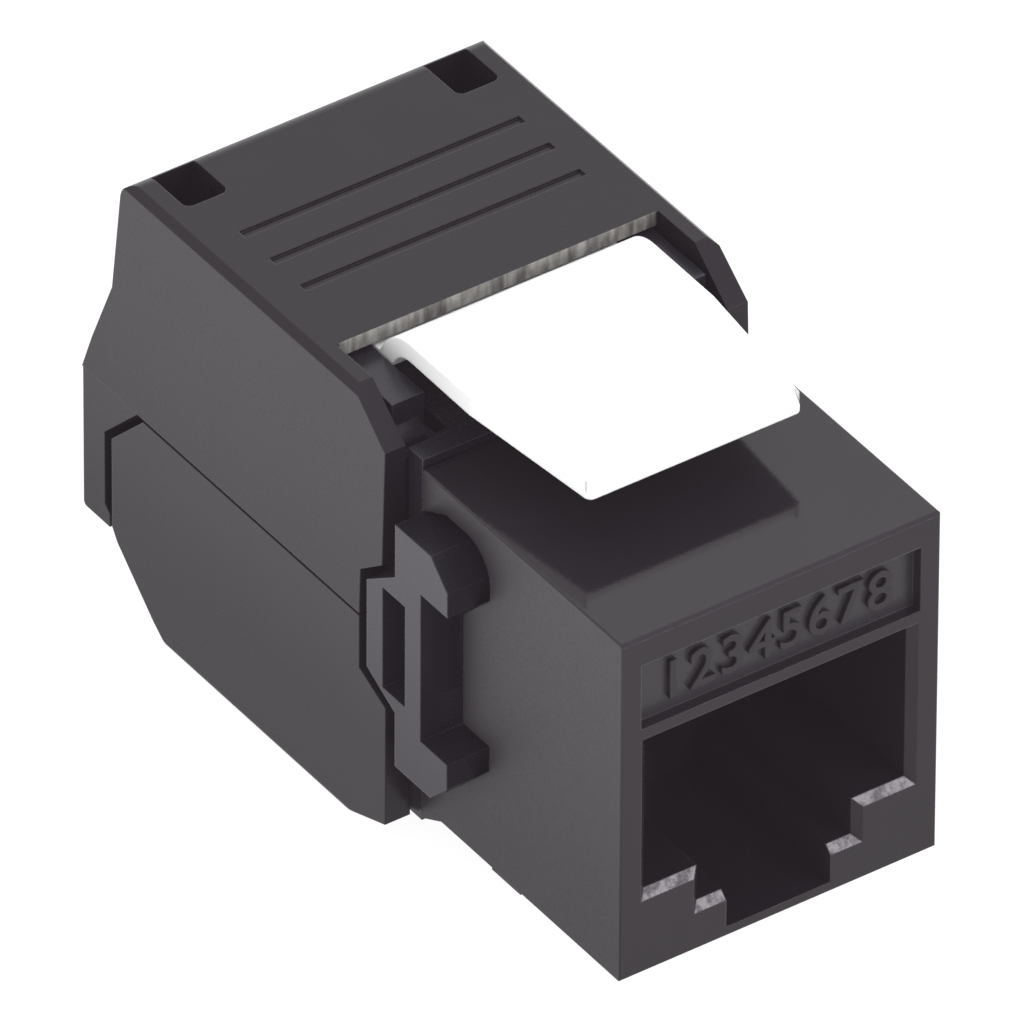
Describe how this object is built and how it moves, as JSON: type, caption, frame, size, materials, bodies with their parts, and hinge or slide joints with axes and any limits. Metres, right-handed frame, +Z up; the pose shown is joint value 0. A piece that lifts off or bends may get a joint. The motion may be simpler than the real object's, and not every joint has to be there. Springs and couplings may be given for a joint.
{
  "type": "keystone jack",
  "caption": "Tool-less modular keystone jack: stepped plug port, white panel latch, and two hinged covers that press conductors onto forked terminals round a cable entry.",
  "frame": {"origin": "centre of the whole jack, seen from above, at the height of the lower cover's underside, on which it rests", "axes": "+X to the right seen from the plug port, +Y from the plug port to the cable entry, +Z up towards the panel latch"},
  "size_m": [0.0172, 0.0342, 0.021],
  "materials": {
    "housing_plastic": "fine moulded grain, satin black",
    "cover_plastic": "fine moulded grain, satin black",
    "body_plastic": "rougher moulded black",
    "insert_plastic": "smooth black",
    "latch_plastic": "smooth white",
    "board": "green solder mask",
    "contact_gold": "gold-plated spring wire",
    "terminal_metal": "tin-plated bronze"
  },
  "bodies": {
    "jack": {"front_housing": "housing_plastic", "contact_carrier": "insert_plastic", "circuit_board": "board", "termination_body": "body_plastic", "idc_terminal_1": "terminal_metal", "idc_terminal_2": "terminal_metal", "idc_terminal_3": "terminal_metal", "idc_terminal_4": "terminal_metal", "idc_terminal_5": "terminal_metal", "idc_terminal_6": "terminal_metal", "idc_terminal_7": "terminal_metal", "idc_terminal_8": "terminal_metal"},
    "spring_contacts": {"contact_1": "contact_gold", "contact_2": "contact_gold", "contact_3": "contact_gold", "contact_4": "contact_gold", "contact_5": "contact_gold", "contact_6": "contact_gold", "contact_7": "contact_gold", "contact_8": "contact_gold"},
    "latch": {"panel_latch": "latch_plastic"},
    "upper_clamshell": {"upper_cover": "cover_plastic"},
    "lower_clamshell": {"lower_cover": "cover_plastic"}
  },
  "joints": [
    {"name": "latch_press", "type": "hinge", "parent": "jack", "child": "latch", "pos_m": [0, 0.003, 0.01862], "axis": [1, 0, 0], "range_deg": [0, 6.5], "stiffness_Nm_per_rad": 0.02},
    {"name": "contact_flex", "type": "hinge", "parent": "jack", "child": "spring_contacts", "pos_m": [0, -0.0032, 0.01468], "axis": [-1, 0, 0], "range_deg": [0, 4.5], "stiffness_Nm_per_rad": 0.01},
    {"name": "upper_cover_hinge", "type": "hinge", "parent": "jack", "child": "upper_clamshell", "pos_m": [0, -0.0015, 0.0175], "axis": [1, 0, 0], "range_deg": [0, 70]},
    {"name": "lower_cover_hinge", "type": "hinge", "parent": "jack", "child": "lower_clamshell", "pos_m": [0, -0.0015, 0.0027], "axis": [-1, 0, 0], "range_deg": [0, 70]}
  ],
  "couplings": [
    {"joint": "lower_cover_hinge", "follows": "upper_cover_hinge", "ratio": 1}
  ]
}
